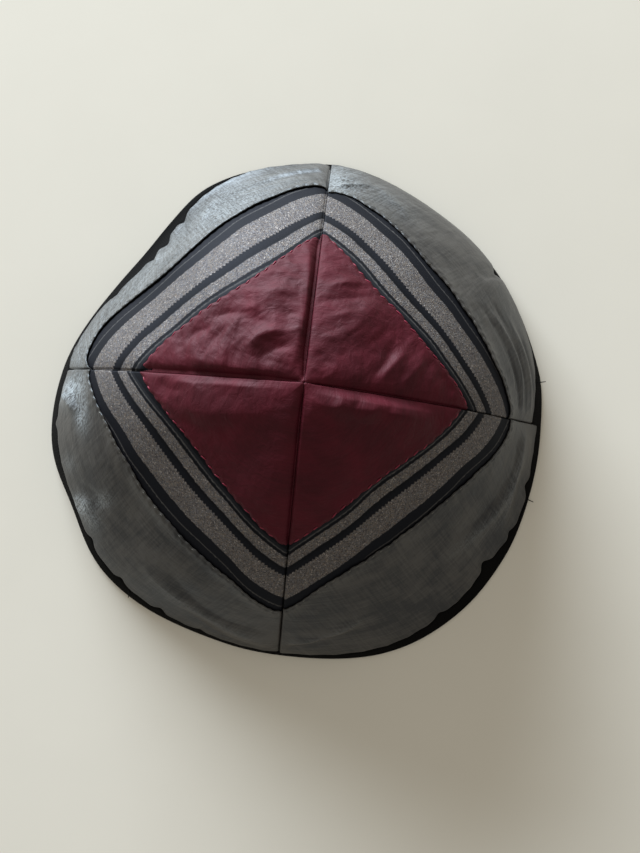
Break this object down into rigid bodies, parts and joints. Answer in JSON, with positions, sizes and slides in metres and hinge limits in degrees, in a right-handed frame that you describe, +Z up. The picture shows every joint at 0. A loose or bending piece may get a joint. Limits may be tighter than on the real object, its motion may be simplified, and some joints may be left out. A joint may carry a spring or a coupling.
{
  "type": "kippah skullcap",
  "caption": "Lined gored kippah skullcap with a maroon silk crown, a striped silver and black ribbon and a grey taffeta skirt, lying open on its rim.",
  "frame": {"origin": "in the plane of the rim, under the middle of the cap's box", "axes": "+Z up from the rim to the apex, +Y to the back seam, +X to the right-hand seam"},
  "size_m": [0.1686, 0.1712, 0.0563],
  "materials": {
    "lining_cloth": "black plain-woven lining cloth",
    "maroon_silk": "maroon silky taffeta with a soft sheen",
    "striped_ribbon": "black woven ribbon with silver lurex stripes",
    "grey_taffeta": "dark grey taffeta with a shimmer"
  },
  "bodies": {
    "root": {"lining": "lining_cloth", "tip_back_right": "maroon_silk", "tip_back_left": "maroon_silk", "tip_front_left": "maroon_silk", "tip_front_right": "maroon_silk", "ribbon_back_right": "striped_ribbon", "ribbon_back_left": "striped_ribbon", "ribbon_front_left": "striped_ribbon", "ribbon_front_right": "striped_ribbon", "skirt_back_right": "grey_taffeta", "skirt_back_left": "grey_taffeta", "skirt_front_left": "grey_taffeta", "skirt_front_right": "grey_taffeta"}
  },
  "joints": []
}
